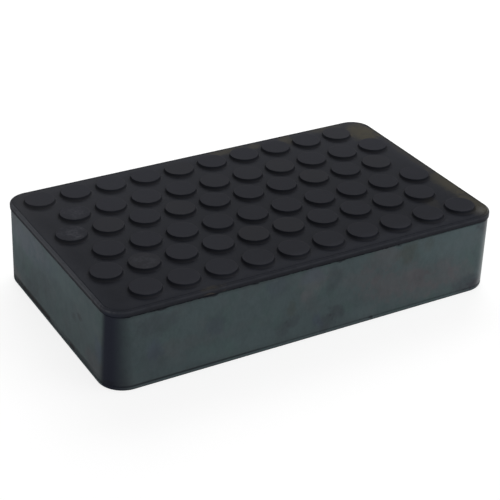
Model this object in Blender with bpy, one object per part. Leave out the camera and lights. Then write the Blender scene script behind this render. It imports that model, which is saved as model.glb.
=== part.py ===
"""Rubber jack pad: a moulded block with a rim bead and sixty round studs on its deck.

Metres, +Z up. The pad rests on the plane Z = 0, X runs along its long side and the
origin is the centre of its underside.
"""
import math

import bmesh
import bpy

# Block
LENGTH = 0.200            # at the foot
WIDTH = 0.117             # at the foot
BLOCK_HEIGHT = 0.040      # underside to deck
FOOT_CORNER = 0.012       # upright corners at the foot
TOP_CORNER = 0.0096       # upright corners at the top of the walls
END_DRAFT = 0.00125       # how far each end wall leans in from the foot to its top
SIDE_DRAFT = 0.0          # the same for each long wall

# Rim bead round the deck, with a parting groove under it
BEAD_PROUD = 0.0004       # how far the bead stands out from the top of the wall
BEAD_ROUND = 0.0010       # upper edge
BEAD_FACE = 0.0018        # upright face under the round
GROOVE_WIDTH = 0.0006
GROOVE_DEPTH = 0.0005
LINE_WIDTH = 0.0006       # shallow line between the bead and the deck
LINE_DEPTH = 0.0002

# Foot band round the underside
FOOT_ROUND = 0.0012
FOOT_FACE = 0.0007        # upright face between the round and the foot line
FOOT_LINE_WIDTH = 0.0006
FOOT_LINE_DEPTH = 0.0003

# Studs, in two fields of rows that stand between each other
STUD_DIAMETER = 0.0142
STUD_HEIGHT = 0.0016
STUD_BEVEL = 0.0003
STUD_DRAFT = 0.0004       # how much wider a stud is at its foot, at each side
STUD_GAP = 0.0039         # between studs of one row
ROW_GAP = 0.0041          # between rows, across the pad
FIELD_SLIP_X = 0.00015    # how far the second field lies off the middle of the first
FIELD_SLIP_Y = 0.00105
STUD_MARGIN = 0.0010      # least flat deck between a stud's foot and the bead's line

# Fineness of the curves
CORNER_STEPS = 8
ROUND_STEPS = 4
STUD_SIDES = 24

RUBBER_COLOUR = (0.024, 0.025, 0.028, 1.0)
RUBBER_ROUGHNESS = 0.55


def clear_scene():
    for leftover in list(bpy.data.objects):
        bpy.data.objects.remove(leftover, do_unlink=True)


def rubber():
    material = bpy.data.materials.new("black_rubber")
    material.use_nodes = True
    shader = material.node_tree.nodes["Principled BSDF"]
    shader.inputs["Base Color"].default_value = RUBBER_COLOUR
    shader.inputs["Roughness"].default_value = RUBBER_ROUGHNESS
    shader.inputs["Metallic"].default_value = 0.0
    return material


def arc(centre_x, centre_y, radius, start, end, steps):
    """Points on an arc, from one angle to the other, both in degrees."""
    points = []
    for step in range(steps + 1):
        angle = math.radians(start + (end - start) * step / steps)
        points.append((centre_x + radius * math.cos(angle), centre_y + radius * math.sin(angle)))
    return points


def plan(half_length, half_width, corner, inset):
    """A rounded rectangle, drawn in by the inset, counter-clockwise from +X."""
    points = []
    for quarter, (side_x, side_y) in enumerate(((1, 1), (-1, 1), (-1, -1), (1, -1))):
        centre_x = side_x * (half_length - corner)
        centre_y = side_y * (half_width - corner)
        start = 90 * quarter
        points += arc(centre_x, centre_y, corner - inset, start, start + 90, CORNER_STEPS)
    return points


def foot_plan(inset):
    return plan(LENGTH / 2, WIDTH / 2, FOOT_CORNER, inset)


def top_size():
    """Half length, half width and corner radius of the walls' top edge."""
    return LENGTH / 2 - END_DRAFT, WIDTH / 2 - SIDE_DRAFT, TOP_CORNER


def top_plan(inset):
    return plan(*top_size(), inset)


def foot_profile():
    """Inset from the foot plan and height of each outline of the foot band, going up."""
    line = FOOT_ROUND + FOOT_FACE
    profile = arc(FOOT_ROUND, FOOT_ROUND, FOOT_ROUND, 270, 180, ROUND_STEPS)
    profile.append((0, line))
    profile.append((FOOT_LINE_DEPTH, line + FOOT_LINE_WIDTH / 2))
    profile.append((0, line + FOOT_LINE_WIDTH))
    return profile


def rim_profile():
    """Inset from the walls' top edge and height of each outline of the rim, wall to deck."""
    shoulder = BLOCK_HEIGHT - BEAD_ROUND
    bead_foot = shoulder - BEAD_FACE
    crest = BEAD_ROUND - BEAD_PROUD
    profile = [(0, bead_foot - GROOVE_WIDTH)]
    profile.append((GROOVE_DEPTH, bead_foot - GROOVE_WIDTH / 2))
    profile.append((-BEAD_PROUD, bead_foot))
    profile += arc(crest, shoulder, BEAD_ROUND, 180, 90, ROUND_STEPS)
    profile.append((crest + LINE_WIDTH / 2, BLOCK_HEIGHT - LINE_DEPTH))
    profile.append((deck_inset(), BLOCK_HEIGHT))
    return profile


def stud_profile():
    """Radius and height of each circle of a stud, from its foot up to its flat top."""
    radius = STUD_DIAMETER / 2
    top = BLOCK_HEIGHT + STUD_HEIGHT
    foot = (radius + STUD_DRAFT, BLOCK_HEIGHT)
    shoulder = (radius, top - STUD_BEVEL)
    edge = (radius - STUD_BEVEL, top)
    return [foot, shoulder, edge]


def deck_inset():
    """From the walls' top edge in to the flat deck."""
    return BEAD_ROUND - BEAD_PROUD + LINE_WIDTH


def on_flat_deck(x, y):
    """Whether a stud centred here stands wholly on the flat deck inside the bead's line."""
    half_length, half_width, corner = top_size()
    inset = deck_inset() + STUD_MARGIN + STUD_DIAMETER / 2 + STUD_DRAFT
    past_x = abs(x) - (half_length - corner)
    past_y = abs(y) - (half_width - corner)
    if past_x > 0 and past_y > 0:
        return math.hypot(past_x, past_y) <= corner - inset
    return max(past_x, past_y) <= corner - inset


def field_positions(half_room, step, slip):
    """Places along one axis of the studs of the first field and of the second, rising."""
    offset = step / 2 + slip
    count = int((2 * half_room - STUD_DIAMETER - offset) / step) + 1
    first = -((count - 1) * step + offset) / 2
    return [[first + field * offset + index * step for index in range(count)] for field in (0, 1)]


def stud_centres():
    """The first field starts at the back left of the deck, the second to its right and front."""
    half_length, half_width, _ = top_size()
    border = deck_inset() + STUD_MARGIN + STUD_DRAFT
    columns = field_positions(half_length - border, STUD_DIAMETER + STUD_GAP, FIELD_SLIP_X)
    rows = field_positions(half_width - border, 2 * (STUD_DIAMETER + ROW_GAP), FIELD_SLIP_Y)
    centres = []
    for field in (0, 1):
        for across in rows[field]:
            for along in columns[field]:
                if on_flat_deck(along, -across):
                    centres.append((along, -across))
    return centres


def add_ring(mesh, points, height):
    return [mesh.verts.new((x, y, height)) for x, y in points]


def join_rings(mesh, rings):
    """Quads from each ring to the next; all rings have equally many points."""
    for lower, upper in zip(rings, rings[1:]):
        for index in range(len(lower)):
            following = (index + 1) % len(lower)
            mesh.faces.new((lower[index], lower[following], upper[following], upper[index]))


def ring_edges(mesh, ring):
    return [mesh.edges.get((ring[index - 1], ring[index])) for index in range(len(ring))]


def build_block(mesh):
    """The underside and the walls; returns the outline that bounds the flat deck."""
    rings = [add_ring(mesh, foot_plan(inset), height) for inset, height in foot_profile()]
    rings += [add_ring(mesh, top_plan(inset), height) for inset, height in rim_profile()]
    mesh.faces.new(reversed(rings[0]))
    join_rings(mesh, rings)
    return rings[-1]


def build_stud(mesh, x, y):
    """One stud's wall and top; returns the circle where it meets the deck."""
    rings = []
    for radius, height in stud_profile():
        circle = arc(x, y, radius, 0, 360, STUD_SIDES)[:-1]
        rings.append(add_ring(mesh, circle, height))
    join_rings(mesh, rings)
    mesh.faces.new(rings[-1])
    return rings[0]


def build_pad():
    mesh = bmesh.new()
    boundary = ring_edges(mesh, build_block(mesh))
    for x, y in stud_centres():
        boundary += ring_edges(mesh, build_stud(mesh, x, y))
    bmesh.ops.triangle_fill(mesh, use_beauty=True, edges=boundary, normal=(0, 0, 1))
    bmesh.ops.recalc_face_normals(mesh, faces=mesh.faces)

    data = bpy.data.meshes.new("jack_pad")
    mesh.to_mesh(data)
    mesh.free()
    data.shade_smooth()
    data.set_sharp_from_angle(angle=math.radians(35))
    data.materials.append(rubber())
    pad = bpy.data.objects.new("jack_pad", data)
    bpy.context.scene.collection.objects.link(pad)
    return pad


clear_scene()
build_pad()
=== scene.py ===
import math

import bmesh
import bpy
from mathutils import Matrix, Vector


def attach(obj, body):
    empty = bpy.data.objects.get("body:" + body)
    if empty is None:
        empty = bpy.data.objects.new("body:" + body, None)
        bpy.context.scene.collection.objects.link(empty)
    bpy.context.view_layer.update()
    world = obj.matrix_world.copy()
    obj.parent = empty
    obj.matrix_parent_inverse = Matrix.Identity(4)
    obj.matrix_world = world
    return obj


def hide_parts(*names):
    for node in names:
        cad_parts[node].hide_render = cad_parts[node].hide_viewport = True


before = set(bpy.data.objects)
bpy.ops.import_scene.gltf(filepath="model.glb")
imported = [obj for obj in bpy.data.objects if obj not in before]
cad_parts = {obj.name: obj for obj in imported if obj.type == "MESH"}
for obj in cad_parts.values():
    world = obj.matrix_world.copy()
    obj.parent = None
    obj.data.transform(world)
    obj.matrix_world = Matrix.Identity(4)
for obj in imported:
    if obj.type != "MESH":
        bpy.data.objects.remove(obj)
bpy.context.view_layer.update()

# Block, in metres
FOOT_HALF_SIZE = (0.100, 0.0585, 0)  # half length and half width
FOOT_CORNER = 0.012
TOP_HALF_SIZE = (0.09875, 0.0585, 0)
TOP_CORNER = 0.0096
DECK_HEIGHT = 0.040
CORNER_POINTS = 24
OUTLINE_POINTS = 760
WALL_STEPS = 9
MERGE_DISTANCE = 0.00001
SHARP_EDGE_DEGREES = 40
SEED = 7                  # of the torn flash and of the studs' tones

# Rim bead round the deck, the groove under it and the line inside it
BEAD_PROUD = 0.0004
BEAD_ROUND = 0.0010
BEAD_FACE = 0.0018
BEAD_LIP = 0.0001
BEAD_FACE_TOP = 0.35      # share of the face over which it turns smooth
GROOVE_WIDTH = 0.0006
GROOVE_DEPTH = 0.0005
GROOVE_POINTS = (         # shares of its depth and of its width, and raggedness, going up
    (0.7, 0.25, 0),
    (1.0, 0.5, 0),
    (0.6, 0.85, 0.5),
)
LINE_WIDTH = 0.0006
LINE_DEPTH = 0.0002
DECK_INSET = BEAD_ROUND - BEAD_PROUD + LINE_WIDTH
BEAD_HIGHLIGHT = (0.65, 1.0, 0.95, 0.65, 0.35, 0.2, 0.1, 0)  # painted highlight, from its face to its crest
FLASH_DEPTH = 0.00035     # how deep the torn edge under the bead is bitten
FLASH_FINENESS = 260.0
FLASH_RISE = (0.5, 0.8)   # values of the noise from which and up to which it bites

# Foot band round the underside
FOOT_ROUND = 0.0012
FOOT_FACE = 0.0007
FOOT_LINE_WIDTH = 0.0006
FOOT_LINE_DEPTH = 0.0003
FOOT_LINE_RAGGED = 0.15
FOOT_STRIP = 0.0006       # flat strip of the underside next to the round

# Studs
STUD_RADIUS = 0.0071
STUD_HEIGHT = 0.0016
STUD_EDGE_ROUND = 0.0003
STUD_DRAFT = 0.0002
STUD_ROOT_ROUND = 0.0008
STUD_ROOT_STRIP = 0.0004  # flat strip of the deck round the root
STUD_TOP_STRIP = 0.0005   # flat strip of the top inside the edge
STUD_SIDES = 48
STUD_EDGE_WEAR_AND_HIGHLIGHT = (0, 0.1, 0.4, 0.8, 1.0, 0.9)  # wear and painted highlight on the edge, from its wall to its top
STUDS_PER_ROW = 10
STUD_ROWS = 6
FIRST_STUD = (-0.08605, 0.046275, 0)
STUD_PITCH = 0.0181
ROW_PITCH = 0.0366        # from one row of a field to its next
SECOND_FIELD = (0.0092, -0.01935, 0)  # how far it is moved from the first

# Steps of the small rounds and hollows
ROUND_STEPS = 6
STUD_EDGE_STEPS = 5
BEAD_STEPS = 7

# Camera
CAMERA_PLACE = (-0.3027455, -0.5156068, 0.3540328)
CAMERA_FORWARD = (0.4411670, 0.7502746, -0.4924020)
CAMERA_DOWN = (-0.2231909, -0.4397153, -0.8699634)
FOCAL_LENGTH_MM = 104.421
SENSOR_WIDTH_MM = 36.0

# Floor and room
FLOOR_CORNERS = ((-3, -3), (3, -3), (3, 3), (-3, 3))
FLOOR_LEVEL = -0.0001
PAPER_TONE = 0.8
NEAR_GLOW = 0.82          # white that the camera sees near the pad without any lamp
SHADED_TONE = 0.27        # tone of the rest, which takes the shadow
GLOW_RISE = (0.3, 0.7)    # distances over which the glow rises to plain white
ROOM_FRONT = 0.55
ROOM_BACK = 0.22

# Lamps: place, width, depth and power; each looks at the middle of the underside
LAMPS = {
    "overhead": ((0.25, 0.45, 0.5), 0.7, 0.5, 3.8),
    "front": ((0.6, -0.6, 0.5), 0.7, 0.7, 1.6),
}


# Small helpers for objects and node trees


def new_object(name, data):
    made = bpy.data.objects.new(name, data)
    bpy.context.scene.collection.objects.link(made)
    return made


def new_material(name):
    material = bpy.data.materials.new(name)
    material.use_nodes = True
    return material, material.node_tree


def feed(tree, socket, value):
    """Link an output to the socket, or set the socket's own value."""
    if isinstance(value, bpy.types.NodeSocket):
        tree.links.new(value, socket)
    else:
        socket.default_value = value


def add(tree, kind, feeds=(), **settings):
    """A node with its settings, and its inputs fed by name or number."""
    made = tree.nodes.new(kind)
    for name, value in settings.items():
        setattr(made, name, value)
    for key, value in dict(feeds).items():
        feed(tree, made.inputs[key], value)
    return made


def calc(tree, operation, *values):
    return add(tree, "ShaderNodeMath", enumerate(values), operation=operation).outputs[0]


def vector_calc(tree, operation, *values):
    return add(tree, "ShaderNodeVectorMath", enumerate(values), operation=operation).outputs[0]


def length_of(tree, vector):
    return add(tree, "ShaderNodeVectorMath", {0: vector}, operation="LENGTH").outputs["Value"]


def scaled(tree, vector, factor):
    return add(tree, "ShaderNodeVectorMath", {0: vector, 3: factor}, operation="SCALE").outputs[0]


def combined(tree, x, y, z):
    return add(tree, "ShaderNodeCombineXYZ", enumerate((x, y, z))).outputs[0]


def split(tree, vector):
    return add(tree, "ShaderNodeSeparateXYZ", {0: vector}).outputs


def ramp(tree, value, start, end, low=0.0, high=1.0):
    """The value's way from start to end, eased at both ends, as low to high."""
    feeds = {"Value": value, "From Min": start, "From Max": end, "To Min": low, "To Max": high}
    return add(tree, "ShaderNodeMapRange", feeds, interpolation_type="SMOOTHSTEP").outputs[0]


def product(tree, *values):
    result = values[0]
    for value in values[1:]:
        result = calc(tree, "MULTIPLY", result, value)
    return result


def total(tree, *values):
    result = values[0]
    for value in values[1:]:
        result = calc(tree, "ADD", result, value)
    return result


def between(tree, start, end, share):
    return calc(tree, "MULTIPLY_ADD", calc(tree, "SUBTRACT", end, start), share, start)


def rest_of(tree, share):
    """What the share leaves of one."""
    return calc(tree, "SUBTRACT", 1.0, share)


def absolute(tree, value):
    return calc(tree, "ABSOLUTE", value)


def clamped(tree, value):
    return add(tree, "ShaderNodeClamp", {0: value}).outputs[0]


def tinted(tree, colour, other, share):
    """The colour, mixed towards the other by the share."""
    made = add(tree, "ShaderNodeMix", data_type="RGBA")
    for index, value in ((0, share), (6, colour), (7, other)):
        feed(tree, made.inputs[index], value)
    return made.outputs[2]


def laid_over(tree, colour, layers):
    """The colour with layers over it, each a colour and its share."""
    for layer, share in layers:
        colour = tinted(tree, colour, layer, share)
    return colour


def times(tree, colour, factor):
    """The colour made lighter or darker by the factor."""
    made = add(tree, "ShaderNodeMix", {0: 1.0}, data_type="RGBA", blend_type="MULTIPLY")
    feed(tree, made.inputs[6], colour)
    feed(tree, made.inputs[7], combined(tree, factor, factor, factor))
    return made.outputs[2]


def use_group(tree, group, feeds):
    node = add(tree, "ShaderNodeGroup", node_tree=group)
    for name, value in feeds.items():
        feed(tree, node.inputs[name], value)
    return node.outputs


def open_group(name, kind, inputs, outputs):
    """A new node group with its sockets; returns it and what its inputs give."""
    tree = bpy.data.node_groups.new(name, kind)
    for label, socket in inputs:
        tree.interface.new_socket(name=label, in_out="INPUT", socket_type="NodeSocket" + socket)
    for label, socket in outputs:
        tree.interface.new_socket(name=label, in_out="OUTPUT", socket_type="NodeSocket" + socket)
    return tree, tree.nodes.new("NodeGroupInput").outputs


def close_group(tree, result):
    """The group with its result led out."""
    out = tree.nodes.new("NodeGroupOutput")
    tree.links.new(result, out.inputs[0])
    return tree


# Profiles, drawn as lines


def arc(centre_x, centre_y, radius, start, end, steps):
    points = []
    for step in range(steps + 1):
        angle = math.radians(start + (end - start) * step / steps)
        points.append((centre_x + radius * math.cos(angle), centre_y + radius * math.sin(angle)))
    return points


def dip(start, end, depth, steps):
    """A smooth hollow between two places along a line, as pairs of place and depth."""
    pairs = []
    for step in range(steps + 1):
        share = step / steps
        pairs.append((start + (end - start) * share, depth * (1 - math.cos(2 * math.pi * share)) / 2))
    return pairs


def block_profile():
    """Each point's inset, share of the way from foot to top plan, height, raggedness and painted
    highlight.
    """
    line_start = FOOT_ROUND + FOOT_FACE
    shoulder = DECK_HEIGHT - BEAD_ROUND
    bead_foot = shoulder - BEAD_FACE
    groove_start = bead_foot - GROOVE_WIDTH
    crest = BEAD_ROUND - BEAD_PROUD
    points = [(FOOT_ROUND + FOOT_STRIP, 0, 0, 0, 0)]
    foot = arc(FOOT_ROUND, FOOT_ROUND, FOOT_ROUND, 270, 180, ROUND_STEPS)
    points += [(inset, 0, height, 0, 0) for inset, height in foot]
    foot_line = dip(line_start, line_start + FOOT_LINE_WIDTH, FOOT_LINE_DEPTH, ROUND_STEPS)
    points += [(inset, 0, height, FOOT_LINE_RAGGED, 0) for height, inset in foot_line]
    wall_start = line_start + FOOT_LINE_WIDTH
    for step in range(1, WALL_STEPS):
        share = step / WALL_STEPS
        points.append((0, share, wall_start + (groove_start - wall_start) * share, 0, 0))
    points.append((0, 1, groove_start, 0, 0))
    for depth, width, ragged in GROOVE_POINTS:
        points.append((GROOVE_DEPTH * depth, 1, groove_start + GROOVE_WIDTH * width, ragged, 0))
    points.append((-BEAD_PROUD + BEAD_LIP, 1, bead_foot, 1, 0))
    points.append((-BEAD_PROUD, 1, bead_foot + BEAD_LIP, 1, 0))
    points.append((-BEAD_PROUD, 1, shoulder - BEAD_FACE * BEAD_FACE_TOP, 0.3, 0.1))
    bead = arc(crest, shoulder, BEAD_ROUND, 180, 90, BEAD_STEPS)
    points += [(inset, 1, height, 0, wear_and_highlight) for (inset, height), wear_and_highlight in zip(bead, BEAD_HIGHLIGHT)]
    deck_line = dip(crest, crest + LINE_WIDTH, LINE_DEPTH, ROUND_STEPS)
    points += [(inset, 1, DECK_HEIGHT - depth, 0, 0) for inset, depth in deck_line][1:]
    return points


def stud_profile():
    """Each point's radius, nothing, height, raggedness and edge wear with painted highlight, from the
    root to the flat top.
    """
    top = DECK_HEIGHT + STUD_HEIGHT
    foot = STUD_RADIUS + STUD_DRAFT
    root = foot + STUD_ROOT_ROUND
    inner = STUD_RADIUS - STUD_EDGE_ROUND
    lower = [(root + STUD_ROOT_STRIP, DECK_HEIGHT)]
    lower += arc(root, DECK_HEIGHT + STUD_ROOT_ROUND, STUD_ROOT_ROUND, 270, 180, ROUND_STEPS)
    points = [(radius, 0, height, 0, 0) for radius, height in lower]
    edge = arc(inner, top - STUD_EDGE_ROUND, STUD_EDGE_ROUND, 0, 90, STUD_EDGE_STEPS)
    points += [(radius, 0, height, 0, wear_and_highlight) for (radius, height), wear_and_highlight in zip(edge, STUD_EDGE_WEAR_AND_HIGHLIGHT)]
    points.append((inner - STUD_TOP_STRIP, 0, top, 0, 0))
    return points


def draw_profiles():
    """One mesh with both profiles as open lines; the stud's own line is marked."""
    points, edges, marks = [], [], []
    for mark, line in enumerate((block_profile(), stud_profile())):
        edges += [(len(points) + index, len(points) + index + 1) for index in range(len(line) - 1)]
        points += line
        marks += [bool(mark)] * len(line)
    mesh = bpy.data.meshes.new("profiles")
    mesh.from_pydata([point[:3] for point in points], edges, [])
    mesh.attributes.new("stud", "BOOLEAN", "POINT").data.foreach_set("value", marks)
    for name, index in (("ragged", 3), ("wear_and_highlight", 4)):
        values = [point[index] for point in points]
        mesh.attributes.new(name, "FLOAT", "POINT").data.foreach_set("value", values)
    return mesh


# The tree that moulds the pad from its profiles


def capture(tree, geometry, kind, name, value):
    node = tree.nodes.new("GeometryNodeCaptureAttribute")
    node.capture_items.new(kind, name)
    feed(tree, node.inputs[0], geometry)
    feed(tree, node.inputs[1], value)
    return node.outputs[0], node.outputs[1]


def named(tree, name, kind):
    return add(tree, "GeometryNodeInputNamedAttribute", {"Name": name}, data_type=kind).outputs[0]


def store(tree, geometry, name, value, kind="FLOAT"):
    feeds = {"Geometry": geometry, "Name": name, "Value": value}
    settings = {"data_type": kind, "domain": "POINT"}
    return add(tree, "GeometryNodeStoreNamedAttribute", feeds, **settings).outputs[0]


def set_position(tree, geometry, position):
    feeds = {"Geometry": geometry, "Position": position}
    return add(tree, "GeometryNodeSetPosition", feeds).outputs[0]


def lifted(tree, geometry, height):
    feeds = {"Geometry": geometry, "Offset": combined(tree, 0.0, 0.0, height)}
    return add(tree, "GeometryNodeSetPosition", feeds).outputs[0]


def own_position(tree):
    return tree.nodes.new("GeometryNodeInputPosition").outputs[0]


def inner_size(tree, half_size, corner):
    """Where the middles of the corner rounds are."""
    return vector_calc(tree, "SUBTRACT", half_size, combined(tree, corner, corner, 0.0))


def place_on_plan(tree, given, spread, direction, inset, share, height):
    """The place of a point of the outline at this inset, share and height."""
    foot = inner_size(tree, given["Foot Half Size"], given["Foot Corner"])
    top = inner_size(tree, given["Top Half Size"], given["Top Corner"])
    step_in = scaled(tree, vector_calc(tree, "SUBTRACT", top, foot), share)
    middle = vector_calc(tree, "ADD", foot, step_in)
    corner = between(tree, given["Foot Corner"], given["Top Corner"], share)
    reach = scaled(tree, direction, calc(tree, "SUBTRACT", corner, inset))
    level = vector_calc(tree, "ADD", vector_calc(tree, "MULTIPLY", spread, middle), reach)
    return vector_calc(tree, "ADD", level, combined(tree, 0.0, 0.0, height))


def outline(tree, given):
    """The foot plan as a curve, with each point's direction and its spread from the middle."""
    width, depth, _ = split(tree, scaled(tree, given["Foot Half Size"], 2.0))
    plan = add(tree, "GeometryNodeCurvePrimitiveQuadrilateral", {0: width, 1: depth}).outputs[0]
    feeds = {"Curve": plan, "Count": given["Corner Points"], "Radius": given["Foot Corner"]}
    plan = add(tree, "GeometryNodeFilletCurve", feeds, mode="POLY").outputs[0]
    feeds = {"Curve": plan, "Count": given["Outline Points"]}
    plan = add(tree, "GeometryNodeResampleCurve", feeds, mode="COUNT").outputs[0]
    inner = inner_size(tree, given["Foot Half Size"], given["Foot Corner"])
    place = own_position(tree)
    spread = vector_calc(tree, "DIVIDE", place, vector_calc(tree, "ADD", inner, (0, 0, 1)))
    spread = vector_calc(tree, "MAXIMUM", spread, (-1, -1, -1))
    spread = vector_calc(tree, "MINIMUM", spread, (1, 1, 1))
    away = vector_calc(tree, "SUBTRACT", place, vector_calc(tree, "MULTIPLY", spread, inner))
    plan, spread = capture(tree, plan, "VECTOR", "Spread", spread)
    plan, direction = capture(tree, plan, "VECTOR", "Direction", vector_calc(tree, "NORMALIZE", away))
    return plan, spread, direction


def sweep(tree, path, profile):
    """The profile's line carried along the path; returns the skin and the line's own places."""
    profile, drawn = capture(tree, profile, "VECTOR", "Drawn", own_position(tree))
    feeds = {"Curve": path, "Profile Curve": profile}
    return add(tree, "GeometryNodeCurveToMesh", feeds).outputs[0], split(tree, drawn)


def filled(tree, curves, height):
    """A flat face between curves, lifted to a height; curves inside others leave holes."""
    flat = add(tree, "GeometryNodeFillCurve", {0: curves}, mode="TRIANGLES").outputs[0]
    return lifted(tree, flat, height)


def joined(tree, *parts):
    node = tree.nodes.new("GeometryNodeJoinGeometry")
    for part in parts:
        tree.links.new(part, node.inputs[0])
    return node.outputs[0]


def on_points(tree, points, instance):
    feeds = {"Points": points, "Instance": instance}
    placed = add(tree, "GeometryNodeInstanceOnPoints", feeds).outputs[0]
    return add(tree, "GeometryNodeRealizeInstances", {0: placed}).outputs[0]


def stud_points(tree, given):
    """Two fields of rows: even rows from the first stud, odd rows moved by the second field."""
    per_row = given["Studs Per Row"]
    index = tree.nodes.new("GeometryNodeInputIndex").outputs[0]
    row = calc(tree, "FLOOR", calc(tree, "DIVIDE", total(tree, index, 0.5), per_row))
    column = calc(tree, "SUBTRACT", index, product(tree, row, per_row))
    field = calc(tree, "MODULO", row, 2.0)
    pair = calc(tree, "FLOOR", product(tree, row, 0.5))
    along = product(tree, column, given["Stud Pitch"])
    across = product(tree, pair, product(tree, given["Row Pitch"], -1.0))
    place = vector_calc(tree, "ADD", given["First Stud"], combined(tree, along, across, 0.0))
    place = vector_calc(tree, "ADD", place, scaled(tree, given["Second Field"], field))
    feeds = {"Count": product(tree, per_row, given["Rows"]), "Position": place}
    points = add(tree, "GeometryNodePoints", feeds).outputs[0]
    feeds = {2: 0.0, 3: 1.0, "Seed": given["Seed"]}
    tone = add(tree, "FunctionNodeRandomValue", feeds, data_type="FLOAT").outputs[1]
    return store(tree, points, "stud_tone", tone)


def stud_body(tree, given, profile):
    """One stud's wall with its root and edge, closed at the top."""
    feeds = {"Resolution": given["Stud Sides"], "Radius": 1.0}
    circle = add(tree, "GeometryNodeCurvePrimitiveCircle", feeds, mode="RADIUS").outputs[0]
    circle, direction = capture(tree, circle, "VECTOR", "Direction", own_position(tree))
    wall, (radius, _, height) = sweep(tree, circle, profile)
    wall = lifted(tree, set_position(tree, wall, scaled(tree, direction, radius)), height)
    feeds = {"Vertices": given["Stud Sides"], "Radius": given["Stud Cap Radius"]}
    cap = add(tree, "GeometryNodeMeshCircle", feeds, fill_type="NGON").outputs[0]
    return joined(tree, wall, lifted(tree, cap, given["Stud Top"]))


def stud_outline(tree, given):
    feeds = {"Resolution": given["Stud Sides"], "Radius": given["Stud Root Radius"]}
    return add(tree, "GeometryNodeCurvePrimitiveCircle", feeds, mode="RADIUS").outputs[0]


PAD_SIZES = (
    ("Foot Half Size", "Vector", FOOT_HALF_SIZE),
    ("Foot Corner", "Float", FOOT_CORNER),
    ("Top Half Size", "Vector", TOP_HALF_SIZE),
    ("Top Corner", "Float", TOP_CORNER),
    ("Corner Points", "Int", CORNER_POINTS),
    ("Outline Points", "Int", OUTLINE_POINTS),
    ("Foot Inset", "Float", FOOT_ROUND + FOOT_STRIP),
    ("Deck Inset", "Float", DECK_INSET),
    ("Deck Height", "Float", DECK_HEIGHT),
    ("Flash Depth", "Float", FLASH_DEPTH),
    ("Stud Sides", "Int", STUD_SIDES),
    ("Stud Root Radius", "Float", STUD_RADIUS + STUD_DRAFT + STUD_ROOT_ROUND + STUD_ROOT_STRIP),
    ("Stud Cap Radius", "Float", STUD_RADIUS - STUD_EDGE_ROUND - STUD_TOP_STRIP),
    ("Stud Top", "Float", DECK_HEIGHT + STUD_HEIGHT),
    ("Studs Per Row", "Int", STUDS_PER_ROW),
    ("Rows", "Int", STUD_ROWS),
    ("First Stud", "Vector", FIRST_STUD),
    ("Stud Pitch", "Float", STUD_PITCH),
    ("Row Pitch", "Float", ROW_PITCH),
    ("Second Field", "Vector", SECOND_FIELD),
    ("Flash Fineness", "Float", FLASH_FINENESS),
    ("Merge Distance", "Float", MERGE_DISTANCE),
    ("Seed", "Int", SEED),
)


def flash_bite(tree, given):
    """How far the torn flash is bitten back at each point of the walls."""
    feeds = {"Scale": given["Flash Fineness"], "Detail": 3.0, "W": given["Seed"]}
    noise = add(tree, "ShaderNodeTexNoise", feeds, noise_dimensions="4D").outputs[0]
    ragged = named(tree, "ragged", "FLOAT")
    return product(tree, ramp(tree, noise, *FLASH_RISE), given["Flash Depth"], ragged)


def pad_tree():
    inputs = [("Profiles", "Geometry")]
    inputs += [(name, kind) for name, kind, _ in PAD_SIZES]
    inputs += [("Rubber", "Material")]
    tree, given = open_group("moulded_pad", "GeometryNodeTree", inputs, [("Pad", "Geometry")])

    feeds = {"Geometry": given["Profiles"], "Selection": named(tree, "stud", "BOOLEAN")}
    lines = add(tree, "GeometryNodeSeparateGeometry", feeds, domain="POINT").outputs
    stud_line, block_line = (add(tree, "GeometryNodeMeshToCurve", {0: line}).outputs[0] for line in lines)
    plan, spread, direction = outline(tree, given)

    def place(inset, share, height):
        return place_on_plan(tree, given, spread, direction, inset, share, height)

    walls, (inset, share, height) = sweep(tree, plan, block_line)
    inset = total(tree, inset, flash_bite(tree, given))
    walls = set_position(tree, walls, place(inset, share, height))
    walls = store(tree, walls, "facing", direction, "FLOAT_VECTOR")
    underside = filled(tree, set_position(tree, plan, place(given["Foot Inset"], 0.0, 0.0)), 0.0)

    points = stud_points(tree, given)
    studs = on_points(tree, points, stud_body(tree, given, stud_line))
    holes = on_points(tree, points, stud_outline(tree, given))
    deck_edge = set_position(tree, plan, place(given["Deck Inset"], 1.0, 0.0))
    deck = filled(tree, joined(tree, deck_edge, holes), given["Deck Height"])

    pad = joined(tree, walls, underside, deck, studs)
    feeds = {"Geometry": pad, "Distance": given["Merge Distance"]}
    pad = add(tree, "GeometryNodeMergeByDistance", feeds).outputs[0]
    pad = add(tree, "GeometryNodeRealizeInstances", {0: pad}).outputs[0]
    feeds = {"Geometry": pad, "Material": given["Rubber"]}
    return close_group(tree, add(tree, "GeometryNodeSetMaterial", feeds).outputs[0])


def mould_pad(rubber):
    """The whole pad as one plain closed mesh."""
    draft = new_object("pad_draft", draw_profiles())
    modifier = draft.modifiers.new("mould", "NODES")
    modifier.node_group = pad_tree()
    values = {name: value for name, _, value in PAD_SIZES}
    values["Rubber"] = rubber
    for socket in modifier.node_group.interface.items_tree:
        if socket.in_out == "INPUT" and socket.name in values:
            modifier[socket.identifier] = values[socket.name]
    evaluated = draft.evaluated_get(bpy.context.evaluated_depsgraph_get())
    mesh = bpy.data.meshes.new_from_object(evaluated)
    mesh.name = "pad_rubber"
    draft.modifiers.clear()
    bpy.data.objects.remove(draft, do_unlink=True)
    skin = bmesh.new()
    skin.from_mesh(mesh)
    bmesh.ops.recalc_face_normals(skin, faces=skin.faces)
    skin.to_mesh(mesh)
    skin.free()
    mesh.shade_smooth()
    mesh.set_sharp_from_angle(angle=math.radians(SHARP_EDGE_DEGREES))
    return new_object("pad_rubber", mesh)


# Finish


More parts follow.
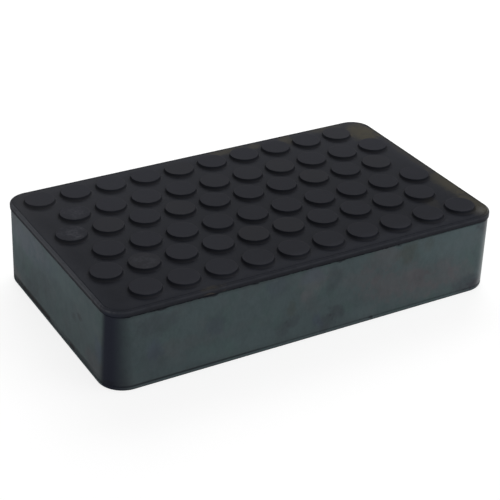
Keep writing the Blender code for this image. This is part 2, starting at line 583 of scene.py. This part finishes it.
# Colours, as linear reflectances
BARE_RUBBER = (0.0180, 0.0190, 0.0238, 1)
# painted shade: tone of the stud tops, which evens them with the deck among the studs although they catch
# more light
STUD_TOP_SHADE_TONE = (0.0216, 0.0224, 0.0296, 1)
# painted shade: blue-black of the upright corners, standing in for their dark reflection
CORNER_SHADE_BLUE_BLACK = (0.0242, 0.0272, 0.0398, 1)
DECK_RUBBER = (0.0156, 0.0172, 0.0236, 1)
# wear and painted highlight on the studs' edges
EDGE_WEAR_AND_HIGHLIGHT = (0.0310, 0.0315, 0.0350, 1)
# painted highlight on the bead's face and round
PAINTED_BEAD_HIGHLIGHT = (0.0450, 0.0475, 0.0570, 1)
WALL_FILM = (0.0640, 0.0860, 0.0915, 1)
WARM_FILM = (0.0830, 0.0845, 0.0910, 1)
GREEN_FILM = (0.0590, 0.0890, 0.0880, 1)
BLUE_FILM = (0.0560, 0.0720, 0.0980, 1)
SMUDGE = (0.0350, 0.0330, 0.0420, 1)
# dust and painted highlight on the bead's round
BEAD_DUST_AND_HIGHLIGHT = (0.1120, 0.1170, 0.1310, 1)
# painted shade: near black put in the foot of the left end
FOOT_SHADE_BLACK = (0.0030, 0.0032, 0.0042, 1)
SCUFF = (0.0520, 0.0535, 0.0640, 1)
OLIVE_DIRT = (0.0520, 0.0570, 0.0500, 1)
# dust on the deck, and painted light on the studs' walls and roots
DECK_DUST_AND_LIGHT = (0.0380, 0.0385, 0.0430, 1)
BROWN_BLOOM = (0.0500, 0.0455, 0.0340, 1)
CLAY = (0.0700, 0.0600, 0.0500, 1)

# Shader
SPECULAR_LEVEL = 0.05
COAT_ROUGHNESS = 0.35
RUBBER_ROUGHNESS = 0.7
FILM_ROUGHNESS = 0.9
GRAIN_STRENGTH = 0.35
GRAIN_HEIGHT = 0.00005

# How the marks wander from their drawn places, in millimetres
MM_PER_METRE = 1000.0
WANDER_FINENESS = 0.16
RAGGED = 12.0
SLIGHTLY_RAGGED = 3.0

# Shares
FILM_BASE = 1.07          # how light the film is where nothing adds to it
STUD_TOP_SHADE_SHARE = 0.6       # how far the stud tops take their own tone, painted shade that evens them with the deck among the studs

# Places where zones of the surface start, in millimetres
LEFT_END = (-94, -98)
DECK_X_EDGE = (96, 90)
DECK_RISE = (39.6, 39.95)
STUD_TOP_RISE = (41.4, 41.55)
# heights of the studs' walls and roots, which are painted lighter against their shade
STUD_SIDE = (39.98, 40.06, 40.6, 41.2)
# heights of the painted highlight on the bead
BEAD_HIGHLIGHT_HEIGHTS = (37.4, 38.2, 38.9, 39.2)
# heights of the foot line, along which shade is painted
FOOT_LINE = (1.6, 2.1, 2.5, 3.1)
LEFT_FOOT = (1.9, 2.6, 3.6, 5.6)

# Marks, in millimetres from the middle of the underside: centre, reach each way, strength
SMUDGED_WALLS = (
    ((-77, -58.5, 30), (10, 8, 6), 0.16),
    ((-89, -58.5, 24), (4, 8, 14), 0.06),
    ((-79, -58.5, 10), (8, 8, 8), 0.08),
    ((-11, -58.5, 12), (4, 8, 3.5), 0.14),
    ((-16, -58.5, 9), (4, 8, 5), 0.16),
    ((-19, -58.5, 31), (6, 8, 6), 0.09),
    ((10, -58.5, 29), (4, 8, 7), 0.12),
    ((12, -58.5, 10), (4.5, 8, 5), 0.22),
    ((7, -58.5, 6), (5, 8, 4.5), 0.20),
    ((86, -58.5, 5), (10, 8, 5), 0.22),
    ((91, -58.5, 3.5), (7, 8, 3), 0.20),
    ((95, -57, 35), (7, 9, 6), 0.30),
    ((8, -58.5, 23), (2, 8, 4), 0.08),
    ((-49, -58.5, 22), (5, 8, 7), 0.06),
    ((58, -58.5, 17), (5, 8, 4), 0.08),
    ((-52, -58.5, 21), (8, 8, 7), 0.05),
    ((33, -58.5, 28), (9, 8, 6), 0.04),
    ((-100, -28, 22.5), (8, 3.2, 1.8), 0.24),
    ((-100, -22, 19.5), (8, 2.8, 1.8), 0.20),
    ((-100, -43, 9), (8, 9, 8), 0.08),
    ((-100, 11, 19), (8, 8, 5), 0.12),
    ((-100, 22, 16), (8, 5, 8), 0.08),
    ((-100, 26, 7), (8, 10, 5), 0.14),
    ((-100, -2, 24), (8, 7, 5), 0.06),
    ((-20, 58.5, 22), (14, 8, 9), 0.16),
    ((55, 58.5, 12), (10, 8, 8), 0.18),
    ((100, 20, 24), (8, 12, 9), 0.16),
    ((100, -28, 10), (8, 9, 7), 0.14),
)
PALE_WALLS = (
    ((0, -58.5, 31), (9, 8, 9), 0.10),
    ((78, -58.5, 31), (24, 8, 10), 0.12),
    ((-38, -58.5, 7), (24, 8, 6), 0.07),
    ((26, -58.5, 6), (9, 8, 5), 0.08),
    ((-100, 36, 31), (8, 22, 10), 0.18),
    ((-100, -8, 33), (8, 26, 7), 0.12),
    ((-100, 46, 20), (8, 8, 16), 0.12),
    ((-60, 58.5, 26), (22, 8, 10), 0.10),
    ((100, 0, 8), (8, 24, 7), 0.08),
)
WARM_WALLS = (
    ((44, -58.5, 17), (18, 8, 9), 0.85),
    ((64, -58.5, 15), (15, 8, 8), 0.60),
    ((26, -58.5, 24), (12, 8, 6), 0.50),
    ((58, -58.5, 8), (12, 8, 5), 0.50),
    ((82, -58.5, 13), (8, 8, 6), 0.40),
    ((-66, -58.5, 16), (24, 8, 5), 0.25),
    ((-2, -58.5, 30), (9, 8, 9), 0.50),
    ((36, -58.5, 31), (12, 8, 7), 0.50),
    ((-100, 34, 32), (8, 24, 8), 0.60),
    ((-100, -44, 8), (8, 12, 6), 0.50),
    ((-100, 45, 6), (8, 7, 5), 0.70),
    ((20, 58.5, 26), (20, 8, 9), 0.70),
)
BLUE_WALLS = (
    ((-79, -58.5, 17), (4, 8, 6), 0.50),
    ((-50, -58.5, 21), (5, 8, 6), 0.25),
    ((-20, -58.5, 32), (5, 8, 6), 0.25),
    ((-2, -58.5, 33), (7, 8, 5), 0.32),
    ((3, -58.5, 8), (3, 8, 4), 0.50),
    ((-100, -48, 17), (8, 5, 6), 0.60),
    ((-100, 25, 30), (8, 26, 8), 0.30),
    ((100, -10, 26), (8, 20, 8), 0.40),
)
OLIVE_WALLS = (
    ((49, -58.5, 31), (6, 6, 7), 0.50),
    ((61, -58.5, 33), (3, 6, 4), 0.25),
    ((-12, -58.5, 18), (2.5, 6, 5), 0.40),
)
BLOOMED_DECK = (
    ((91, 44, 40), (8.5, 11, 6), 1.0),
    ((76, 56, 40), (10, 3.5, 6), 0.45),
    ((51, 53, 40), (4, 6, 3), 0.65),
    ((33, 54, 40), (4, 3.5, 3), 0.60),
    ((17, 55, 40), (12, 3.2, 3), 0.60),
    ((95.5, -22, 40), (5, 15, 6), 0.55),
    ((94, -47, 40), (6.5, 12, 6), 0.50),
    ((97.5, 10, 40), (3, 24, 6), 0.35),
    ((77, -37, 40), (4, 5, 3), 0.30),
    ((-50, -58, 39.4), (8, 1.6, 1.2), 0.50),
)
# Painted shade in the foot of the left end
FOOT_SHADE_MARKS = (
    ((-100, 20, 3), (8, 20, 8), 0.90),
    ((-100, -26, 3), (8, 16, 8), 0.40),
    ((-100, 44, 3), (8, 12, 8), 0.45),
    ((-100, -20, 3), (8, 3, 8), 0.30),
)
# Dust and painted highlight on the bead
BEAD_DUST_AND_HIGHLIGHT_MARKS = (
    ((-99, 2, 39), (6, 66, 4), 0.72),
    ((-76, -59, 37.6), (7, 1, 0.6), 0.35),
    ((40, 59, 38), (60, 3, 3), 0.45),
    ((99, -10, 38), (3, 40, 3), 0.45),
)
# Painted shadow under the torn flash: the film stops short there
TORN_FLASH_SHADOWS = (
    ((-76, -58.5, 36.7), (8, 3, 0.5), 0.8),
    ((-52, -58.5, 36.5), (3.5, 3, 0.6), 0.9),
    ((-31, -58.5, 36.6), (2, 3, 0.5), 0.7),
    ((13.2, -58.5, 36.6), (2.2, 3, 0.7), 0.8),
    ((43.9, -58.5, 36.6), (1.4, 3, 0.6), 0.5),
    ((31, -58.5, 2.5), (1.5, 3, 0.9), 0.8),
)
CLAY_BITS = (
    ((-53, -59, 37.5), (2.6, 1.2, 0.35), 0.6),
    ((-46, -59, 37.9), (1.2, 1.2, 0.3), 0.4),
)
SCUFFED_STUDS = (
    ((-86.0, 9.7, 41.6), (6.0, 5.5, 2), 1.0),
    ((-76.8, 26.9, 41.6), (6.0, 5.5, 2), 0.7),
    ((-68.0, -26.9, 41.6), (5.5, 5.5, 2), 0.6),
)


def mottle_group():
    """Cloudy noise round zero, as wide as its size in millimetres and stretched upwards."""
    inputs = (("Place", "Vector"), ("Size", "Float"), ("Tall", "Float"), ("Seed", "Float"))
    tree, given = open_group("mottle", "ShaderNodeTree", inputs, [("Value", "Float")])
    stretch = combined(tree, 1.0, 1.0, calc(tree, "DIVIDE", 1.0, given["Tall"]))
    place = vector_calc(tree, "MULTIPLY", given["Place"], stretch)
    feeds = {"Vector": place, "W": given["Seed"], "Detail": 3.0, "Roughness": 0.55}
    feeds["Scale"] = calc(tree, "DIVIDE", 1.0, given["Size"])
    noise = add(tree, "ShaderNodeTexNoise", feeds, noise_dimensions="4D").outputs[0]
    return close_group(tree, product(tree, calc(tree, "SUBTRACT", noise, 0.5), 4.0))


def patch_group():
    """A spot, one inside and nothing past its reach, with an edge that crumbles."""
    inputs = (("Place", "Vector"), ("Centre", "Vector"), ("Reach", "Vector"), ("Crumble", "Float"))
    tree, given = open_group("patch", "ShaderNodeTree", inputs, [("Mask", "Float")])
    away = vector_calc(tree, "SUBTRACT", given["Place"], given["Centre"])
    away = vector_calc(tree, "DIVIDE", away, given["Reach"])
    distance = total(tree, length_of(tree, away), given["Crumble"])
    return close_group(tree, ramp(tree, distance, 1.25, 0.45))


class Finish:
    """The rubber's material tree, with what its layers share; lengths are in millimetres."""

    def __init__(self, tree):
        self.tree = tree
        self.mottle_tree = mottle_group()
        self.patch_tree = patch_group()
        self.place = scaled(tree, add(tree, "ShaderNodeTexCoord").outputs["Object"], MM_PER_METRE)
        self.x, self.y, self.z = split(tree, self.place)
        feeds = {"Vector": self.place, "Scale": WANDER_FINENESS, "Detail": 4.0, "Roughness": 0.62}
        wander = add(tree, "ShaderNodeTexNoise", feeds, noise_dimensions="3D").outputs[1]
        wander = vector_calc(tree, "SUBTRACT", wander, (0.5, 0.5, 0.5))
        ragged = scaled(tree, wander, RAGGED)
        slightly_ragged = scaled(tree, wander, SLIGHTLY_RAGGED)
        self.ragged_place = vector_calc(tree, "ADD", self.place, ragged)
        self.slightly_ragged = vector_calc(tree, "ADD", self.place, slightly_ragged)
        coarse = product(tree, self.mottle(4.0, seed=0.7), 0.30)
        fine = product(tree, self.mottle(1.2, seed=5.6, tall=1.3), 0.22)
        self.crumble = total(tree, coarse, fine)
        self.wear_and_highlight = self.attribute("wear_and_highlight", "Fac")
        self.stud_tone = self.attribute("stud_tone", "Fac")
        self.facing = split(tree, self.attribute("facing", "Vector"))
        self.left_end = ramp(tree, self.x, *LEFT_END)
        self.deck = ramp(tree, self.z, *DECK_RISE)
        self.stud_top = ramp(tree, self.z, *STUD_TOP_RISE)

    def mottle(self, size, seed, tall=1.0):
        feeds = {"Place": self.place, "Size": size, "Tall": tall, "Seed": seed}
        return use_group(self.tree, self.mottle_tree, feeds)[0]

    def marks(self, place, marks):
        """All marks of a kind together, each with its own strength."""
        masks = []
        for centre, reach, strength in marks:
            feeds = {"Place": place, "Centre": centre, "Reach": reach, "Crumble": self.crumble}
            mask = use_group(self.tree, self.patch_tree, feeds)[0]
            masks.append(product(self.tree, mask, strength))
        return total(self.tree, *masks)

    def attribute(self, name, output):
        settings = {"attribute_name": name, "attribute_type": "GEOMETRY"}
        return add(self.tree, "ShaderNodeAttribute", **settings).outputs[output]

    def between_heights(self, low, low_end, high_end, high):
        """One between two heights, eased off below and above."""
        above = ramp(self.tree, self.z, low, low_end)
        return product(self.tree, above, ramp(self.tree, self.z, high, high_end))

    def inside(self, x_bounds, y_bounds):
        """One over the middle of the deck, eased off towards its four edges."""
        along = ramp(self.tree, absolute(self.tree, self.x), *x_bounds)
        return product(self.tree, along, ramp(self.tree, absolute(self.tree, self.y), *y_bounds))


def painted_corner_shade(finish):
    """Painted shade on the upright corners, most at the near left one: the film is left off there,
    standing in for their dark reflection.
    """
    tree = finish.tree
    along, across, _ = finish.facing
    turn = calc(tree, "ARCTAN2", absolute(tree, across), absolute(tree, along))
    corner_shade = product(tree, ramp(tree, turn, 0.07, 0.42), ramp(tree, turn, 1.70, 0.66))
    near = product(tree, ramp(tree, finish.x, -80, -86), ramp(tree, finish.y, -40, -46))
    return product(tree, corner_shade, ramp(tree, near, 0.0, 1.0, low=0.15))


def film_edge(finish):
    """One below the film's upper edge, which waves a little and follows the torn flash; where it dips
    under the flash, the bare rubber is painted shadow.
    """
    tree = finish.tree
    wave = product(tree, finish.mottle(5.0, seed=6.1), 0.18)
    wave = total(tree, wave, product(tree, finish.mottle(1.3, seed=2.7), 0.14))
    lip = total(tree, finish.z, wave, ramp(tree, finish.x, 80, 30, high=0.3))
    straight = ramp(tree, finish.z, 37.0, 36.7)
    edge = between(tree, ramp(tree, lip, 37.05, 36.85), straight, finish.left_end)
    return product(tree, edge, rest_of(tree, finish.marks(finish.slightly_ragged, TORN_FLASH_SHADOWS)))


def left_foot_shade(finish):
    """Painted shade in the foot of the left end."""
    tree = finish.tree
    marks = total(tree, finish.marks(finish.slightly_ragged, FOOT_SHADE_MARKS), 0.28)
    return product(tree, finish.between_heights(*LEFT_FOOT), finish.left_end, clamped(tree, marks))


def film_share(finish, corner_shade, foot_shade):
    """How much of the surface is under the walls' film; it is left off as painted shade on the upright
    corners, along the foot line and in the foot of the left end.
    """
    tree = finish.tree
    walls = product(tree, ramp(tree, finish.z, 0.2, 1.2), film_edge(finish))
    # Painted shade: the film is thinned along the foot line, most towards the left of the front.
    along_front = ramp(tree, finish.x, -10, -40, low=0.3, high=0.7)
    at_left = product(tree, finish.left_end, ramp(tree, finish.y, -5, 15, low=-0.35, high=-0.1))
    foot_line_shade = product(tree, finish.between_heights(*FOOT_LINE), total(tree, along_front, at_left))
    # painted shade: no film on the upright corners
    film = product(tree, walls, rest_of(tree, corner_shade))
    return product(tree, film, rest_of(tree, foot_line_shade), rest_of(tree, foot_shade))


def film_cover(finish):
    """How thick the dusty film lies on the walls, with one as the common measure; towards the foot it is
    also painted light against the floor's shadow.
    """
    tree, x, y, z = finish.tree, finish.x, finish.y, finish.z
    upper_left = product(tree, finish.left_end, ramp(tree, z, 12, 30))
    front_end = product(tree, ramp(tree, x, 60, -20, low=0.3), ramp(tree, y, -50, -56))
    return total(
        tree,
        product(tree, ramp(tree, x, 5, 92), 0.16),
        product(tree, finish.left_end, 0.20),
        product(tree, upper_left, ramp(tree, y, -56, 40, low=0.1), 0.39),
        # painted light: lighter towards the foot, against the floor's shadow
        ramp(tree, z, 14, 4, high=0.06),
        product(tree, finish.mottle(9.0, seed=1.3, tall=1.4), 0.05),
        product(tree, finish.mottle(3.0, seed=4.1, tall=1.6), 0.10),
        product(tree, finish.mottle(1.1, seed=8.7, tall=2.2), 0.05),
        product(tree, finish.left_end, finish.mottle(5.0, seed=3.9), 0.08),
        product(tree, ramp(tree, z, 34.9, 36.6), front_end, -0.22),
        finish.marks(finish.ragged_place, PALE_WALLS),
        FILM_BASE,
    )


def film_colour(finish):
    """Dusty bloom on the walls, with warm, green, blue and dark places."""
    tree, ragged, slightly = finish.tree, finish.ragged_place, finish.slightly_ragged
    green = ramp(tree, finish.mottle(10.0, seed=6.4, tall=1.2), 0.0, 0.8, high=0.6)
    warm = product(tree, finish.mottle(11.0, seed=2.9), 0.30)
    warm = total(tree, finish.marks(ragged, WARM_WALLS), warm)
    smudge = product(tree, finish.marks(slightly, SMUDGED_WALLS), 1.9)
    layers = (
        (GREEN_FILM, green),
        (WARM_FILM, clamped(tree, warm)),
        (BLUE_FILM, finish.marks(ragged, BLUE_WALLS)),
        (OLIVE_DIRT, finish.marks(slightly, OLIVE_WALLS)),
        (SMUDGE, clamped(tree, smudge)),
    )
    return times(tree, laid_over(tree, WALL_FILM, layers), film_cover(finish))


def deck_dust_and_painted_light(finish):
    """Dust on the deck, most towards its back and left, and painted light on the studs' walls and roots
    that lifts their shade.
    """
    tree, x, y, z = finish.tree, finish.x, finish.y, finish.z
    ends = ramp(tree, x, -20, -90, low=0.45)
    ends = total(tree, ends, ramp(tree, x, 30, 95, high=0.25))
    dust = total(
        tree,
        product(tree, ramp(tree, y, -60, 60), ends, 0.33),
        product(tree, rest_of(tree, finish.inside(DECK_X_EDGE, (56, 50))), 0.07),
        product(tree, ramp(tree, x, -75, -95), ramp(tree, y, 20, 55), 0.22),
        product(tree, finish.stud_top, total(tree, finish.stud_tone, -0.35), 0.14),
        product(tree, finish.mottle(7.0, seed=3.3), 0.04),
        product(tree, finish.mottle(1.4, seed=5.2), 0.03),
        # painted light: lifts the shade on the studs' walls and roots
        product(tree, finish.between_heights(*STUD_SIDE), 0.42),
    )
    return product(tree, clamped(tree, dust), ramp(tree, z, 38.8, 39.4))


def deck_bloom(finish):
    """Brown bloom on the right end of the deck, between the studs."""
    tree = finish.tree
    haze = product(tree, ramp(tree, finish.x, 87, 97), ramp(tree, finish.y, 0, -30), 0.42)
    bloom = total(tree, finish.marks(finish.slightly_ragged, BLOOMED_DECK), haze)
    patchy = ramp(tree, finish.mottle(3.0, seed=7.7), -1.4, 0.6, low=0.65)
    bloom = product(tree, bloom, ramp(tree, finish.z, 38.4, 39.4), patchy)
    return product(tree, clamped(tree, bloom), rest_of(tree, finish.stud_top))


def stud_scuffs(finish):
    tree = finish.tree
    patchy = ramp(tree, finish.mottle(1.1, seed=9.4), -0.7, 0.7)
    marks = finish.marks(finish.ragged_place, SCUFFED_STUDS)
    return product(tree, marks, finish.stud_top, patchy, 0.9)


def painted_deck_shade(finish):
    """Painted shade: how much darker the deck is painted among the studs, most in its front and middle.
    """
    tree, x, y = finish.tree, finish.x, finish.y
    among_studs = product(tree, finish.inside(DECK_X_EDGE, (54, 49)), finish.deck)
    middle = product(tree, ramp(tree, x, -50, -10), ramp(tree, x, 90, 60), 0.10)
    front = ramp(tree, y, 50, 0, high=0.12)
    front = product(tree, front, ramp(tree, finish.stud_top, 0, 1, low=1.0, high=0.85))
    return product(tree, among_studs, total(tree, front, middle, 0.06))


def bead_highlight_band(finish):
    """The painted highlight streak along the face of the front bead."""
    tree, x = finish.tree, finish.x
    along = ramp(tree, x, -20, -50, high=0.12)
    along = total(tree, along, ramp(tree, x, 20, 60, high=0.08), 0.03)
    return product(tree, finish.between_heights(*BEAD_HIGHLIGHT_HEIGHTS), along)


def dusty_highlit_bead(finish):
    """Dust and painted highlight along the upper part of the bead, most on the left end and on its crest.
    """
    tree, x, z = finish.tree, finish.x, finish.z
    left_rim = ramp(tree, x, -97.5, -99.1, high=0.88)
    left_rim = total(tree, left_rim, ramp(tree, x, -93, -98, high=0.12))
    left_bead = product(tree, ramp(tree, z, 38.4, 38.9), left_rim)
    crest = product(tree, finish.wear_and_highlight, ramp(tree, z, 40.2, 40.1))
    bead = calc(tree, "MAXIMUM", left_bead, crest)
    marks = finish.marks(finish.place, BEAD_DUST_AND_HIGHLIGHT_MARKS)
    return product(tree, bead, marks, ramp(tree, z, 39.3, 40.1, low=1.0, high=0.72))


def worn_and_highlit_edge(finish, mottle, bounds, low, share):
    """Painted highlight on the bead's round, and wear with painted highlight on the studs' edges, in
    patches; its share changes from the bead up to the studs.
    """
    tree = finish.tree
    patchy = ramp(tree, mottle, *bounds, low=low)
    low_share, high_share = share
    return product(tree, finish.wear_and_highlight, patchy, ramp(tree, finish.z, 40.2, 40.6, low_share, high_share))


def rubber_colour(finish, corner_shade, foot_shade):
    """The rubber itself, from the moulded black to what lies on it and where it is worn, with painted
    shade on the corners, deck, stud tops and left foot and painted highlights on the bead and stud edges.
    """
    tree, tone, stud_top = finish.tree, finish.stud_tone, finish.stud_top
    rubber = laid_over(tree, BARE_RUBBER, (
        # painted shade on the upright corners
        (CORNER_SHADE_BLUE_BLACK, corner_shade),
        (DECK_RUBBER, finish.deck),
        # dust, and painted light on the studs' walls and roots
        (DECK_DUST_AND_LIGHT, deck_dust_and_painted_light(finish)),
        (BROWN_BLOOM, deck_bloom(finish)),
        # painted shade: the stud tops evened with the deck among the studs
        (STUD_TOP_SHADE_TONE, product(tree, stud_top, STUD_TOP_SHADE_SHARE)),
        (BROWN_BLOOM, product(tree, stud_top, ramp(tree, tone, 0.70, 0.80), 0.07)),
        (WARM_FILM, product(tree, stud_top, ramp(tree, tone, 0.12, 0.02), 0.04)),
        # painted highlight streak on the front bead
        (PAINTED_BEAD_HIGHLIGHT, bead_highlight_band(finish)),
        (SCUFF, stud_scuffs(finish)),
    ))
    # painted shade on the deck among the studs
    rubber = times(tree, rubber, rest_of(tree, painted_deck_shade(finish)))
    stud_patches = finish.mottle(1.6, seed=2.2)
    bead_patches = finish.mottle(2.4, seed=4.4)
    return laid_over(tree, rubber, (
        # wear and painted highlight on the stud edges, painted highlight on the bead
        (EDGE_WEAR_AND_HIGHLIGHT, worn_and_highlit_edge(finish, stud_patches, (-0.6, 0.8), 0.15, (0.0, 0.4))),
        (PAINTED_BEAD_HIGHLIGHT, worn_and_highlit_edge(finish, bead_patches, (-0.8, 0.4), 0.6, (0.9, 0.0))),
        # dust and painted highlight on the bead
        (BEAD_DUST_AND_HIGHLIGHT, dusty_highlit_bead(finish)),
        # painted shade in the foot of the left end
        (FOOT_SHADE_BLACK, foot_shade),
    ))


def polish(finish, film):
    """A thin shine on the film, most at the right front corner."""
    tree, x, y = finish.tree, finish.x, finish.y
    tip = product(tree, ramp(tree, x, 88, 98), ramp(tree, y, -48, -54), 0.3)
    corner = product(tree, ramp(tree, finish.facing[0], 0.15, 0.6), ramp(tree, y, -40, -48))
    return total(tree, product(tree, film, 0.1), tip, product(tree, corner, film, 0.5))


def rubber_material():
    material, tree = new_material("moulded_rubber")
    shader = tree.nodes["Principled BSDF"]
    shader.inputs["Specular IOR Level"].default_value = SPECULAR_LEVEL
    shader.inputs["Coat Roughness"].default_value = COAT_ROUGHNESS
    finish = Finish(tree)
    # painted shade on the upright corners and in the foot of the left end
    corner_shade = painted_corner_shade(finish)
    foot_shade = left_foot_shade(finish)
    film = film_share(finish, corner_shade, foot_shade)
    colour = laid_over(tree, rubber_colour(finish, corner_shade, foot_shade), (
        (film_colour(finish), film),
        (CLAY, finish.marks(finish.slightly_ragged, CLAY_BITS)),
    ))
    grain = product(tree, finish.mottle(0.45, seed=1.0), 0.25)
    height = total(tree, grain, finish.mottle(5.0, seed=1.5))
    feeds = {"Strength": GRAIN_STRENGTH, "Distance": GRAIN_HEIGHT, "Height": height}
    bump = add(tree, "ShaderNodeBump", feeds)
    roughness = ramp(tree, film, 0.0, 1.0, low=RUBBER_ROUGHNESS, high=FILM_ROUGHNESS)
    feed(tree, shader.inputs["Normal"], bump.outputs[0])
    feed(tree, shader.inputs["Roughness"], roughness)
    feed(tree, shader.inputs["Base Color"], colour)
    feed(tree, shader.inputs["Coat Weight"], polish(finish, film))
    return material


# Studio


def aim_camera():
    data = bpy.data.cameras.new("camera")
    data.lens = FOCAL_LENGTH_MM
    data.sensor_width = SENSOR_WIDTH_MM
    camera = new_object("camera", data)
    back = -Vector(CAMERA_FORWARD).normalized()
    up = -Vector(CAMERA_DOWN).normalized()
    right = up.cross(back).normalized()
    up = back.cross(right)
    turn = Matrix((right, up, back)).transposed().to_4x4()
    camera.matrix_world = Matrix.Translation(CAMERA_PLACE) @ turn
    bpy.context.scene.camera = camera


def glow(tree, strength):
    feeds = {"Color": (1, 1, 1, 1), "Strength": strength}
    return add(tree, "ShaderNodeEmission", feeds).outputs[0]


def matt(tree, tone):
    return add(tree, "ShaderNodeBsdfDiffuse", {"Color": (tone, tone, tone, 1)}).outputs[0]


def mixed(tree, share, shader, other):
    return add(tree, "ShaderNodeMixShader", {0: share, 1: shader, 2: other}).outputs[0]


def floor_paper(tree):
    """White paper, with a faint shadow to the camera, plain white in gloss, clear from below."""
    path = tree.nodes.new("ShaderNodeLightPath").outputs
    reflected = calc(tree, "MAXIMUM", path["Is Glossy Ray"], path["Is Transmission Ray"])
    paper = mixed(tree, reflected, matt(tree, PAPER_TONE), glow(tree, 1.0))
    distance = length_of(tree, add(tree, "ShaderNodeTexCoord").outputs["Object"])
    near_glow = glow(tree, ramp(tree, distance, *GLOW_RISE, low=NEAR_GLOW))
    feeds = {0: near_glow, 1: matt(tree, SHADED_TONE)}
    shaded = add(tree, "ShaderNodeAddShader", feeds).outputs[0]
    paper = mixed(tree, path["Is Camera Ray"], paper, shaded)
    from_below = tree.nodes.new("ShaderNodeNewGeometry").outputs["Backfacing"]
    clear = tree.nodes.new("ShaderNodeBsdfTransparent").outputs[0]
    return mixed(tree, from_below, paper, clear)


def add_floor():
    mesh = bpy.data.meshes.new("floor")
    corners = [(x, y, FLOOR_LEVEL) for x, y in FLOOR_CORNERS]
    mesh.from_pydata(corners, [], [(0, 1, 2, 3)])
    floor = new_object("floor", mesh)
    material, tree = new_material("floor_white")
    tree.nodes.clear()
    out = tree.nodes.new("ShaderNodeOutputMaterial")
    tree.links.new(floor_paper(tree), out.inputs["Surface"])
    mesh.materials.append(material)


def light_world():
    """A white room, brighter in front; the camera sees plain white."""
    world = bpy.data.worlds.new("studio")
    bpy.context.scene.world = world
    world.use_nodes = True
    tree = world.node_tree
    background = tree.nodes["Background"]
    path = tree.nodes.new("ShaderNodeLightPath")
    _, toward_back, _ = split(tree, add(tree, "ShaderNodeTexCoord").outputs["Generated"])
    room = ramp(tree, toward_back, -0.6, 0.6, low=ROOM_FRONT, high=ROOM_BACK)
    strength = between(tree, room, 1.0, path.outputs["Is Camera Ray"])
    feed(tree, background.inputs["Strength"], strength)
    background.inputs["Color"].default_value = (1, 1, 1, 1)


def add_lamp(name, place, width, depth, power):
    data = bpy.data.lights.new(name, "AREA")
    data.shape = "RECTANGLE"
    data.size = width
    data.size_y = depth
    data.energy = power
    lamp = new_object(name, data)
    lamp.location = place
    lamp.rotation_euler = (-Vector(place)).to_track_quat("-Z", "Y").to_euler()


aim_camera()
add_floor()
light_world()
for lamp_name, settings in LAMPS.items():
    add_lamp(lamp_name, *settings)
pad = mould_pad(rubber_material())
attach(pad, "root")
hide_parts("jack_pad")
bpy.context.scene.view_settings.view_transform = "Standard"
